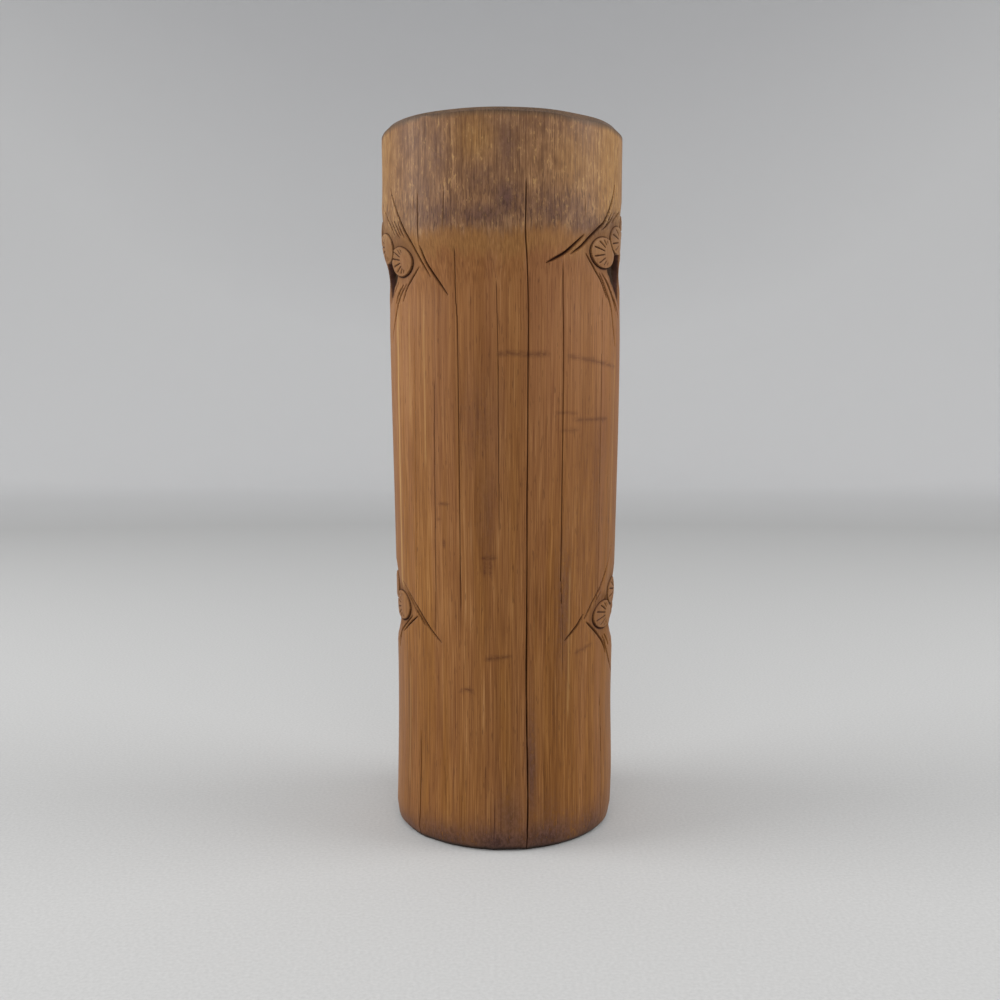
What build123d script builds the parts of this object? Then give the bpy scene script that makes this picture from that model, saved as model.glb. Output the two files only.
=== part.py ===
"""Bamboo vase: a carved culm closed by a wooden base disc, with a drop-in copper water liner.

Millimetres. +Z runs up the culm, -Y is the front, and the origin is the middle of the footprint.
"""

import os
from math import cos, hypot, radians, sin

from build123d import *

# Culm, outside
HEIGHT = 345.0
RIM_DIAMETER = 118.0        # upper internode
NODE_DIAMETER = 119.2       # swelling that is left at the upper node
SHOULDER_DIAMETER = 114.8   # middle internode, just below the upper node
WAIST_DIAMETER = 109.4      # narrowest place, below the lower node
BASE_DIAMETER = 110.4
UPPER_NODE_DROP = 53.0      # from the rim down to the upper node
INTERNODE = 180.0           # from the upper node down to the lower one
WAIST_HEIGHT = 66.0
NODE_RISE = 16.0            # height over which the node swells out of the upper internode
NODE_FALL = 18.0            # height over which it falls to the middle internode
STEP_ASIDE = 1.7            # the culm below the upper node stands this far to +X
RIM_BEVEL = 2.0
RIM_INNER_BEVEL = 0.8
BASE_ROUND = 3.0

# Culm, inside
MOUTH_WALL = 9.0            # above the upper node
CULM_WALL = 8.8             # below it
SEPTUM = 7.0                # thickness of the walls across the culm at its nodes, which are bored out
SEPTUM_STAND = 2.1          # what is left of them stands this far into the bore

# Drying checks: thin slots along the grain, cut into the wall from outside
CHECK_WIDTH = 0.6
CHECK_DEPTH = 5.0
CHECKS = [  # degrees from the front towards +X, start above the base, end below the rim
    (10.6, 0.0, 32.0),
    (28.5, 101.0, 66.0),
    (-35.5, 92.0, 86.0),
    (-48.5, 0.0, 292.0),
    (60.0, 0.0, 276.0),
    (152.0, 0.0, 70.0),
    (-128.0, 24.0, 92.0),
]

# Carved sprigs, one on each flank at each node, alike on both sides of the flank's middle line
GROUND_DEPTH = 1.2
STROKE_DEPTH = 1.2
STROKE_WIDTH = 1.3
PIT_DEPTH = 4.0
HOLLOW_DEPTH = 2.6
HOLLOW_WIDTH = 24.0
HOLLOW_HEIGHT = 16.0
FAN_WIDTH = 20.0
FAN_HEIGHT = 13.0
UPPER_SPRIG_DROP = 9.0      # the sprig's middle lies this far below its node
LOWER_SPRIG_DROP = 2.0
# Places in a sprig: degrees from the flank's middle line, height from the sprig's middle
UPPER_FANS = [(0.0, 13.0), (16.0, 6.5), (34.5, -1.0)]
LOWER_FANS = [(15.5, 9.5), (29.0, 0.0)]
GROUND = [(0.0, 18.0), (23.0, 26.0), (46.0, 5.0), (45.0, -6.0), (31.0, -21.0), (9.0, -33.0), (0.0, -26.0)]
STROKES = [
    ((19.0, 30.0), (24.5, 36.0)),
    ((49.0, 7.0), (66.0, -10.0)),
    ((48.0, -2.0), (57.0, -11.0)),
    ((29.0, -26.0), (15.0, -42.0)),
]
PIT = [(9.0, -4.0), (26.0, -9.0), (23.0, -14.0), (12.0, -20.0)]
HOLLOW = (0.0, -9.0)

# Base disc
BASE_DISC_THICKNESS = 10.0
FOOT_RECESS = 2.0           # the disc sits this far above the culm's lower end
BASE_LEDGE = 2.5            # shoulder in the wall that the disc stops against
GLUE_LINE = 0.1
DISC_BEVEL = 0.6

# Copper liner
LINER_DROP = 33.0           # from the culm's rim down to the liner's
LINER_SHEET = 0.7
LINER_CLEARANCE = 2.0       # round the tube, in the bored node walls
SEAM_WIDTH = 8.0
SEAM_ANGLE = 90.0           # the lapped seam is at the back
WIRE_DIAMETER = 2.4
WIRE_CLEARANCE = 0.3
CURL_GAP = 0.4              # between the rolled edge and the tube
BOTTOM_FLANGE = 6.0
SOLDER_LEG = 2.0
SOLDER_FILM = 0.05

# Places that follow from the sizes above
UPPER_NODE_HEIGHT = HEIGHT - UPPER_NODE_DROP
LOWER_NODE_HEIGHT = UPPER_NODE_HEIGHT - INTERNODE
SECTIONS = [  # height, diameter, distance aside
    (0.0, BASE_DIAMETER, STEP_ASIDE),
    (WAIST_HEIGHT, WAIST_DIAMETER, STEP_ASIDE),
    (UPPER_NODE_HEIGHT - NODE_FALL, SHOULDER_DIAMETER, STEP_ASIDE),
    (UPPER_NODE_HEIGHT, NODE_DIAMETER, 0.0),
    (UPPER_NODE_HEIGHT + NODE_RISE, RIM_DIAMETER, 0.0),
    (HEIGHT, RIM_DIAMETER, 0.0),
]
OUTSIDE = max(diameter for height, diameter, aside in SECTIONS)
UPPER_SPRIG = UPPER_NODE_HEIGHT - UPPER_SPRIG_DROP
LOWER_SPRIG = LOWER_NODE_HEIGHT - LOWER_SPRIG_DROP
UPPER_RADIUS = NODE_DIAMETER / 2
LOWER_RADIUS = WAIST_DIAMETER / 2
UP_FROM_FLOOR = (Align.CENTER, Align.CENTER, Align.MIN)


def culm_form(inset):
    """The culm's outer form, drawn in all round by inset."""
    with BuildPart() as form:
        for height, diameter, aside in SECTIONS:
            with BuildSketch(Plane.XY.offset(height)):
                with Locations((aside, 0)):
                    Circle(diameter / 2 - inset)
        loft(ruled=True)
    return form.part


def bore_radius(height):
    """Inside radius of the culm below the upper node, one wall in from its outside."""
    for (low, low_diameter, _), (high, high_diameter, _) in zip(SECTIONS, SECTIONS[1:]):
        if low <= height <= high:
            share = (height - low) / (high - low)
            return (low_diameter + share * (high_diameter - low_diameter)) / 2 - CULM_WALL


def flank_plane(side, height):
    """Upright plane through the axis: X runs across the flank, Y up, Z out to the flank."""
    return Plane(origin=(0, 0, height), x_dir=(0, side, 0), z_dir=(side, 0, 0))


def on_flank(place, radius):
    """A place on the round wall as it is seen square on to the flank."""
    degrees, height = place
    return (radius * sin(radians(degrees)), height)


def sprig_fans(fans, radius):
    """The oval tufts of needles, narrower towards the edge of the flank as it turns away."""
    with BuildSketch() as sketch:
        for degrees, height in fans:
            with Locations(on_flank((degrees, height), radius)):
                Ellipse(FAN_WIDTH / 2 * cos(radians(degrees)), FAN_HEIGHT / 2)
        mirror(about=Plane.YZ)
    return sketch.sketch


def sprig_ground(fans, radius):
    """The lowered ground, with the fans left standing in it."""
    with BuildSketch() as sketch:
        with BuildLine():
            Polyline(*[on_flank(place, radius) for place in GROUND], close=True)
        make_face()
        mirror(about=Plane.YZ)
        add(sprig_fans(fans, radius), mode=Mode.SUBTRACT)
    return sketch.sketch


def sprig_strokes(radius):
    """The long knife strokes beyond the ground, widest in the middle and pointed at both ends."""
    with BuildSketch() as sketch:
        for places in STROKES:
            (start_x, start_y), (end_x, end_y) = [on_flank(place, radius) for place in places]
            run_x = end_x - start_x
            run_y = end_y - start_y
            half = STROKE_WIDTH / 2 / hypot(run_x, run_y)
            middle_x = (start_x + end_x) / 2
            middle_y = (start_y + end_y) / 2
            with BuildLine():
                Polyline(
                    (start_x, start_y),
                    (middle_x - run_y * half, middle_y + run_x * half),
                    (end_x, end_y),
                    (middle_x + run_y * half, middle_y - run_x * half),
                    close=True,
                )
            make_face()
        mirror(about=Plane.YZ)
    return sketch.sketch


def sprig_pits(radius):
    """The deep hollows under the fans, beside the flank's middle line."""
    with BuildSketch() as sketch:
        with BuildLine():
            Polyline(*[on_flank(place, radius) for place in PIT], close=True)
        make_face()
        mirror(about=Plane.YZ)
    return sketch.sketch


def sprig_hollow(radius):
    """The scooped place below the fans, on the flank's middle line."""
    with BuildSketch() as sketch:
        with Locations(on_flank(HOLLOW, radius)):
            Ellipse(HOLLOW_WIDTH / 2, HOLLOW_HEIGHT / 2)
    return sketch.sketch


def sprig_cut(depth, *carvings):
    """The wood that one kind of carving takes away on both flanks, to one depth below the surface."""
    with BuildPart() as cut:
        for height, sketch in carvings:
            for side in (-1, 1):
                with BuildSketch(flank_plane(side, height)):
                    add(sketch)
                extrude(amount=OUTSIDE)
        add(culm_form(depth), mode=Mode.SUBTRACT)
    return cut.part


def checks_cut():
    """The thin slots that the drying checks open, to one depth below the surface."""
    with BuildPart() as cut:
        for degrees, start, end_drop in CHECKS:
            with BuildSketch(Plane.XY.offset(start).rotated((0, 0, degrees))):
                Rectangle(CHECK_WIDTH, OUTSIDE, align=(Align.CENTER, Align.MAX))
            extrude(amount=HEIGHT - end_drop - start)
        add(culm_form(CHECK_DEPTH), mode=Mode.SUBTRACT)
    return cut.part


os.makedirs("parts", exist_ok=True)

# Inside of the culm: the mouth, the bores between the node walls, and the rebate for the base disc
LOWER_SEPTUM = (LOWER_NODE_HEIGHT - SEPTUM / 2, LOWER_NODE_HEIGHT + SEPTUM / 2)
UPPER_SEPTUM = (UPPER_NODE_HEIGHT - SEPTUM, UPPER_NODE_HEIGHT)
DISC_TOP = FOOT_RECESS + BASE_DISC_THICKNESS
MOUTH_RADIUS = RIM_DIAMETER / 2 - MOUTH_WALL
BORES = [  # radius and height at the lower and the upper end
    ((bore_radius(DISC_TOP), DISC_TOP), (bore_radius(LOWER_SEPTUM[0]), LOWER_SEPTUM[0])),
    ((bore_radius(LOWER_SEPTUM[1]), LOWER_SEPTUM[1]), (bore_radius(UPPER_SEPTUM[0]), UPPER_SEPTUM[0])),
]
NARROWEST = min([radius for ends in BORES for radius, height in ends] + [MOUTH_RADIUS - STEP_ASIDE])
SEPTUM_RADIUS = NARROWEST - SEPTUM_STAND
REBATE_RADIUS = bore_radius(DISC_TOP) + BASE_LEDGE

# Carving on each flank: the height of its middle, and its outline
UPPER_GROUND = (UPPER_SPRIG, sprig_ground(UPPER_FANS, UPPER_RADIUS))
LOWER_GROUND = (LOWER_SPRIG, sprig_ground(LOWER_FANS, LOWER_RADIUS))
UPPER_STROKES = (UPPER_SPRIG, sprig_strokes(UPPER_RADIUS))
LOWER_STROKES = (LOWER_SPRIG, sprig_strokes(LOWER_RADIUS))
UPPER_PITS = (UPPER_SPRIG, sprig_pits(UPPER_RADIUS))
LOWER_HOLLOW = (LOWER_SPRIG, sprig_hollow(LOWER_RADIUS))

# Culm wall: the bored, cracked and carved length of bamboo
with BuildPart() as culm_wall:
    add(culm_form(0.0))
    chamfer(culm_wall.faces().sort_by(Axis.Z)[-1].edges(), RIM_BEVEL)
    fillet(culm_wall.faces().sort_by(Axis.Z)[0].edges(), BASE_ROUND)
    with Locations((0, 0, UPPER_SEPTUM[1])):
        Cylinder(MOUTH_RADIUS, HEIGHT - UPPER_SEPTUM[1], align=UP_FROM_FLOOR, mode=Mode.SUBTRACT)
    chamfer(culm_wall.faces().sort_by(Axis.Z)[-1].edges().sort_by(SortBy.RADIUS)[0], RIM_INNER_BEVEL)
    with Locations((STEP_ASIDE, 0, 0)):
        Cylinder(REBATE_RADIUS, DISC_TOP, align=UP_FROM_FLOOR, mode=Mode.SUBTRACT)
        Cylinder(SEPTUM_RADIUS, HEIGHT, align=UP_FROM_FLOOR, mode=Mode.SUBTRACT)
    for (low_radius, low), (high_radius, high) in BORES:
        with Locations((STEP_ASIDE, 0, low)):
            Cone(low_radius, high_radius, high - low, align=UP_FROM_FLOOR, mode=Mode.SUBTRACT)
    add(checks_cut(), mode=Mode.SUBTRACT)
    add(sprig_cut(PIT_DEPTH, UPPER_PITS), mode=Mode.SUBTRACT)
    add(sprig_cut(HOLLOW_DEPTH, LOWER_HOLLOW), mode=Mode.SUBTRACT)
    add(sprig_cut(GROUND_DEPTH, UPPER_GROUND, LOWER_GROUND), mode=Mode.SUBTRACT)
    add(sprig_cut(STROKE_DEPTH, UPPER_STROKES, LOWER_STROKES), mode=Mode.SUBTRACT)
culm_wall.part.label = "culm_wall"
export_step(culm_wall.part, "parts/culm_wall.step")

# Base disc: glued into the rebate, against the shoulder above it
with BuildPart() as base_disc:
    with Locations((STEP_ASIDE, 0, FOOT_RECESS)):
        Cylinder(REBATE_RADIUS - GLUE_LINE, BASE_DISC_THICKNESS, align=UP_FROM_FLOOR)
    chamfer(base_disc.faces().sort_by(Axis.Z)[0].edges(), DISC_BEVEL)
base_disc.part.label = "base_disc"
export_step(base_disc.part, "parts/base_disc.step")

# Liner: the tube passes the node walls and stands on the base disc
LINER_AXIS = Axis((STEP_ASIDE, 0, 0), (0, 0, 1))
TUBE_OUTER = SEPTUM_RADIUS - LINER_CLEARANCE
TUBE_INNER = TUBE_OUTER - LINER_SHEET
CURL_INNER = WIRE_DIAMETER / 2 + WIRE_CLEARANCE
CURL_OUTER = CURL_INNER + LINER_SHEET
CURL_RADIUS = TUBE_INNER + CURL_OUTER
CURL_HEIGHT = HEIGHT - LINER_DROP - CURL_OUTER
FLOOR_RADIUS = TUBE_INNER - SOLDER_FILM
FLOOR_TOP = DISC_TOP + BOTTOM_FLANGE

# Liner tube: copper sheet, lapped at the back, its rim rolled outwards round the wire
with BuildPart() as liner_tube:
    with BuildSketch(Plane.XZ):
        with Locations((STEP_ASIDE + CURL_RADIUS, CURL_HEIGHT)):
            Circle(CURL_OUTER)
            Circle(CURL_INNER, mode=Mode.SUBTRACT)
        with Locations((STEP_ASIDE + TUBE_OUTER + CURL_GAP, CURL_HEIGHT)):
            Rectangle(CURL_OUTER, CURL_OUTER, align=Align.MAX, mode=Mode.SUBTRACT)
        with Locations((STEP_ASIDE + TUBE_INNER, DISC_TOP)):
            Rectangle(LINER_SHEET, CURL_HEIGHT - DISC_TOP, align=Align.MIN)
    revolve(axis=LINER_AXIS)
    with BuildSketch(Plane.XY.offset(DISC_TOP)):
        with Locations((STEP_ASIDE, 0)):
            Circle(TUBE_OUTER + LINER_SHEET)
            Circle(TUBE_INNER + LINER_SHEET / 2, mode=Mode.SUBTRACT)
            with Locations(Rot(Z=SEAM_ANGLE)):
                Rectangle(2 * TUBE_OUTER, SEAM_WIDTH, align=(Align.MIN, Align.CENTER), mode=Mode.INTERSECT)
    extrude(amount=CURL_HEIGHT - CURL_OUTER - DISC_TOP)
liner_tube.part.label = "liner_tube"
export_step(liner_tube.part, "parts/liner_tube.step")

# Liner rim wire: the ring that stiffens the rolled rim
with BuildPart() as liner_rim_wire:
    with Locations((STEP_ASIDE, 0, CURL_HEIGHT)):
        Torus(CURL_RADIUS, WIRE_DIAMETER / 2)
liner_rim_wire.part.label = "liner_rim_wire"
export_step(liner_rim_wire.part, "parts/liner_rim_wire.step")

# Liner bottom: a flanged disc set into the tube, its flange level with the tube's lower edge
with BuildPart() as liner_bottom:
    with Locations((STEP_ASIDE, 0, DISC_TOP)):
        Cylinder(FLOOR_RADIUS, BOTTOM_FLANGE, align=UP_FROM_FLOOR)
        Cylinder(
            FLOOR_RADIUS - LINER_SHEET, BOTTOM_FLANGE - LINER_SHEET, align=UP_FROM_FLOOR, mode=Mode.SUBTRACT
        )
liner_bottom.part.label = "liner_bottom"
export_step(liner_bottom.part, "parts/liner_bottom.step")

# Liner solder: the fillet that seals the bottom to the tube
with BuildPart() as liner_solder:
    with BuildSketch(Plane.XZ):
        with Locations((STEP_ASIDE + FLOOR_RADIUS, FLOOR_TOP)):
            Circle(SOLDER_LEG)
            Rectangle(SOLDER_LEG, SOLDER_LEG, align=(Align.MAX, Align.MIN), mode=Mode.INTERSECT)
    revolve(axis=LINER_AXIS)
liner_solder.part.label = "liner_solder"
export_step(liner_solder.part, "parts/liner_solder.step")
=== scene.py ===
"""Looks of the bamboo vase: the carved culm as one fine mesh, and a material for every piece.

Sizes are millimetres until they go into a mesh. Angles are degrees round the culm from the front (-Y)
towards +X.
"""

from math import cos, pi, radians, sin

import bpy
import numpy as np
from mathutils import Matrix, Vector


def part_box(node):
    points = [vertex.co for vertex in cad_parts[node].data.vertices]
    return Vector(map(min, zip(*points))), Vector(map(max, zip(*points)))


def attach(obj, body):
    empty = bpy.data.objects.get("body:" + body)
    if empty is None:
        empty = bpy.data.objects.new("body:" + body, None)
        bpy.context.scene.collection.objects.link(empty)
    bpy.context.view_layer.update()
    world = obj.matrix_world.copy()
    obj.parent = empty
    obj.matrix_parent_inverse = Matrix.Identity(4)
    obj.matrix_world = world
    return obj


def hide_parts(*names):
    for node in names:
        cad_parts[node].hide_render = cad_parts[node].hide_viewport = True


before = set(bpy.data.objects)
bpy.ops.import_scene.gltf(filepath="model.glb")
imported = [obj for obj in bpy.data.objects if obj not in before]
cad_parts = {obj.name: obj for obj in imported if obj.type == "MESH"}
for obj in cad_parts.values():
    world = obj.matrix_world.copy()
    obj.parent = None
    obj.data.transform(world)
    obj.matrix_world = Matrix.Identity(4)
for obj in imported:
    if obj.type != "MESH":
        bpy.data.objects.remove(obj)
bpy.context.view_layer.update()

MM = 0.001

# Culm, outside
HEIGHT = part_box("culm_wall")[1].z / MM
UPPER_NODE = HEIGHT - 53
LOWER_NODE = 112
CULM = [  # height, radius, distance of the middle to +X
    (0, 55.2, 0.9),
    (20, 55.3, 1.5),
    (66, 54.7, 1.6),
    (116, 55.4, 1.8),
    (166, 56.3, 1.9),
    (214, 57.1, 1.8),
    (246, 57.4, 1.6),
    (268, 57.4, 1.3),
    (280, 58.3, 0.7),
    (291, 59.3, -0.2),
    (300, 59.4, -0.1),
    (314, 59.1, 0.1),
    (HEIGHT, 59.15, 0.15),
]
FOOT_ROUND = 3  # the foot is drawn in this far, over the height below
FOOT_RISE = 8
FOOT_DIRT_AND_SHADE_HEIGHT = 2.8  # the foot is painted darker up to this height: partly dirt, partly painted shade under its rounding
RIM_BEVEL = 1.7
RIM_WAVES = [(3, 0.2, 1), (11, 0.12, 0)]  # uneven bevel: waves round the rim, size, shift
RIM_WORN = [  # angle, depth and reach of the places where the bevel is worn wider
    (36, 1.3, 13),
    (60, 1.1, 14),
    (-82, 1.3, 18),
    (82, 1.3, 18),
    (160, 0.8, 20),
]
RIM_BLEND = 14  # height over which the wall follows the bevel's edge
RIM_DIP = 1  # the saw cut falls this far from the front to the culm's axis
RIM_DIP_BLEND = 60
FLATS = [(26, 0.05), (41, 0.03), (9, 0.07)]  # shaving flats: how many round the culm, depth
FLATS_WIND = 90  # height in which their waves move on by one radian

# Culm, inside
STEP_ASIDE = 1.7  # the bore stands this far to +X below the upper node
MOUTH_RADIUS = 50
MOUTH_BEVEL = 0.8
SEPTUM = 7  # thickness of the bored node walls
SEPTUM_RADIUS = 44.2
REBATE_RADIUS = 48.8  # for the base disc
REBATE_HEIGHT = 12
INSIDE = [  # radius, height, distance of the middle to +X, blocks of the mesh up to the next corner
    (MOUTH_RADIUS + MOUTH_BEVEL, HEIGHT, 0, 1),
    (MOUTH_RADIUS, HEIGHT - MOUTH_BEVEL, 0, 5),
    (MOUTH_RADIUS, UPPER_NODE, 0, 1),
    (SEPTUM_RADIUS, UPPER_NODE, STEP_ASIDE, 1),
    (SEPTUM_RADIUS, UPPER_NODE - SEPTUM, STEP_ASIDE, 1),
    (49.9, UPPER_NODE - SEPTUM, STEP_ASIDE, 10),
    (46.6, LOWER_NODE + SEPTUM / 2, STEP_ASIDE, 1),
    (SEPTUM_RADIUS, LOWER_NODE + SEPTUM / 2, STEP_ASIDE, 1),
    (SEPTUM_RADIUS, LOWER_NODE - SEPTUM / 2, STEP_ASIDE, 1),
    (46.5, LOWER_NODE - SEPTUM / 2, STEP_ASIDE, 6),
    (46.3, REBATE_HEIGHT, STEP_ASIDE, 1),
    (REBATE_RADIUS, REBATE_HEIGHT, STEP_ASIDE, 1),
    (REBATE_RADIUS, 0, STEP_ASIDE, 1),
]

# Mesh of the culm: square cells, halved again and again towards the carving
COLUMNS = 1024
BLOCK = 8
SURFACE_RADIUS = 57  # degrees become millimetres across the surface at this radius
CELL = 2 * pi * SURFACE_RADIUS / COLUMNS
SNAP = 0.45 * CELL  # vertices this close to a rib or a fan's edge are moved onto it
SPLIT_REACH = 1.1  # cells are halved within this many of their own sizes of a carved line
SPLIT_SPARE = 0.3
FAN_SPARE = 1  # and always within this of a fan
SCUFF_OFF = 0.8  # a scuff counts as this much further away than it is
PALE_OFF = 0.4
LINE_REACH = 5  # no line matters further away than this
SHARP_ANGLE = 38  # edges bent by more than this are shaded as sharp
ROW = ("radius", "height", "aside", "inward", "down", "dip", "carved", "worn", "bore", "grain")

# Carving
STROKE_DEPTH = 1.2  # for each millimetre of a stroke's width
CRACK_TIP = 8  # a crack or pale line thins out over this length at each end
SCUFF_TIP = 2.5
CUT_REACH = 1  # no cut reaches further than this from its middle line
CUT_TIP = 0.35  # width of a cut at its tips, as a share of its full width
CUT_SWELL = 0.4  # the less this is, the faster a stroke swells from its tips
GROOVE_WIDTH = 1.7  # of the groove round a fan, where it is widest
GROOVE_DEPTH = 2
GROOVE_SIDE = (0.8, -0.6)  # it is widest to this side: towards the front, and down
GROOVE_THIN = 0.6  # width and depth of the other side as shares
GROOVE_FLAT = 0.65
GROOVE_WALL = 0.32  # the groove is deepest this far from the fan
FAN_STAND = 0.3  # the fans stand this far above the culm's own surface
FAN_DOME = 0.6  # and are domed this much
FAN_FOCUS = 0.45  # ribs point this share of the half width right of the middle
RIBS = 8
RIB_SPREAD = 66  # degrees to each side of the fan's opening
RIB_WIDTH = 1.1
RIB_DEPTH = 0.8
RIB_END = 0.9  # share of the way to the fan's edge
RIB_END_FADE = 0.1
RIB_START_FADE = 0.9  # in millimetres
GROUND_DEPTH = 1
GROUND_REACH = 7.5
PIT_DEPTH = 5
PIT_WALL = 2.4  # the walls slope over this width
PIT_ROUND = 1.2  # rounding of the corners
PIT_SHOULDER = 3.5  # width of the lowered ground round a pit
PIT_WAVES = [(0.4, 0.45, 0.3, 0), (0.15, 0.8, -0.7, 1)]  # uneven sides: size, per mm across, up, shift
PIT_LOW_END = 0.45  # share of the depth at a pit's lower end
PIT_TOP = 6  # full depth starts this far below its upper end
PIT_ROUGH = 0.35
HOLLOW_EDGE = 1.3  # a hollow ends at this share of its half size
HOLLOW_FLOOR = 0.2  # and has its full depth within this one
HOLLOW_GROUND = 0.7  # share of the ground's colour in it
STROKE_DARK = 1.4  # a cut is fully dark where its depth, as a share, times this is 1
GROOVE_DARK = 1.5
# pits are painted darker than the cuts: partly their stain, partly painted shade in the deep hollows
PIT_DARK = 2.3

# Sprigs. Places: degrees from the flank's middle line towards the front, and height over the sprig's own.
# Fans, and the crown on the middle line: place, half width, half height. Rib start: from their focus, as
# a share of the half width. Hollow: place, half width, half height, depth. Strokes: width, places.
UPPER_LEFT = dict(
    flank=-90,
    height=283,
    fans=[(32.8, -3.3, 9.3, 6.6), (16, 4.2, 11, 7)],
    crown=(0, 12.5, 9.5, 6.6),
    rib_start=0.4,
    pit=[(3.5, 4), (17, 0), (29.5, -9), (25, -13.5), (15, -20), (7.5, -23)],
    hollow=(1, -8, 12, 9, 1.1),
    strokes=[
        (1.4, [(26, 32), (30, 25), (37, 15), (43.5, 6), (47.5, -1.5), (54, -12)]),
        (1.3, [(49.5, 3), (52, -4.5), (56.5, -11.5), (63, -20.5)]),
        (1.1, [(18, 22.5), (26.5, 15), (32.5, 8)]),
        (1, [(28.5, 16), (36, 7)]),
        (1, [(31.5, 15.5), (37.5, 8)]),
        (1, [(34.5, 15), (40, 7)]),
        (1.3, [(47.5, -6.5), (40.5, -12), (36, -16.5), (32, -22)]),
        (1.4, [(36.5, -13.5), (29.5, -19.5), (25, -26), (21.5, -32.5), (17, -41)]),
        (1.3, [(33, -14), (27.5, -18.5), (24, -22.5)]),
        (1.3, [(28, -12.5), (23, -16.5), (17, -21.5)]),
    ],
)
UPPER_RIGHT = dict(
    flank=90,
    height=283,
    fans=[(34.3, 0.7, 10.6, 6.9), (17, 8, 10.8, 6.5)],
    crown=(0, 15.5, 9.5, 6.4),
    rib_start=0.42,
    pit=[(3.5, 7), (18, 4), (33, -6), (28, -12.5), (18, -19.5), (8.5, -23)],
    hollow=(1, -6, 12, 8, 0.9),
    strokes=[
        (1.9, [(24.5, 33.5), (28, 26), (35, 15.5), (40.5, 11), (46.5, 6.5), (52, 2.2), (58.5, -1.8)]),
        (1.8, [(50, 7.6), (55.5, 3.2), (61, -1), (66, -3.7), (71, -6.2)]),
        (1.3, [(25, 32.5), (28.3, 25.5), (33, 18.3)]),
        (1.1, [(28.5, 20), (34, 13)]),
        (1.2, [(24.5, 20.5), (32, 14), (36.5, 11)]),
        (1, [(16, 23.5), (22, 18)]),
        (1, [(20, 21), (27, 15)]),
        (1.3, [(49, -0.5), (42, -8), (37, -13.5), (32, -20.5)]),
        (1.5, [(39, -8.5), (33.5, -16), (27.5, -24.5), (25, -32.5), (21.5, -43)]),
        (1.4, [(36.5, -8.5), (30.5, -14.5), (24.5, -20.5), (20, -26)]),
        (1.3, [(33.5, -11), (27, -17), (19.5, -23.5), (15, -29)]),
    ],
)
LOWER_LEFT = dict(
    flank=-97,
    height=112,
    fans=[(28, 1.2, 10.5, 6.9), (12, 9, 9.5, 6.6)],
    rib_start=0.45,
    hollow=(12, -8.5, 15, 8, 2),
    strokes=[
        (1.4, [(31, 14.5), (38.5, 8.5), (46.5, 3), (52, -2.3), (57.5, -7.5), (64, -12.6)]),
        (1.4, [(36, 8.5), (42, 4), (48.5, -1), (53, -5.6)]),
        (1.2, [(47, -1.5), (39.5, -6), (31, -11.6)]),
        (1.4, [(41.5, -2), (30, -10), (27, -14.3), (23.5, -21)]),
        (1.1, [(27, -12), (21.5, -19.5)]),
    ],
)
LOWER_RIGHT = dict(
    flank=90,
    height=110,
    fans=[(27.5, -0.4, 11, 6.5), (12, 9, 10, 6.4)],
    rib_start=0.35,
    hollow=(5, -9.5, 15, 8, 2.4),
    strokes=[
        (1.5, [(20.5, 33), (26.5, 23.5), (33, 15), (40, 8.3), (44, 3.4), (47, -0.4)]),
        (1, [(33, 11.5), (37.5, 7)]),
        (1.5, [(47.5, 2.6), (52, -2.6), (59.5, -9.2)]),
        (1.5, [(45.5, -1.5), (36.5, -7.8), (28.5, -15.4), (25.5, -20.5)]),
        (1.4, [(29.5, -11), (24, -19), (17.5, -26.5), (9, -34)]),
        (1.2, [(27, -10.5), (20.5, -17.3)]),
        (1.1, [(18.5, -11.5), (14.5, -17)]),
        (1.9, [(25.7, 8.6), (24.7, 5.6)]),
    ],
)
SPRIGS = [UPPER_LEFT, UPPER_RIGHT, LOWER_LEFT, LOWER_RIGHT]

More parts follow.
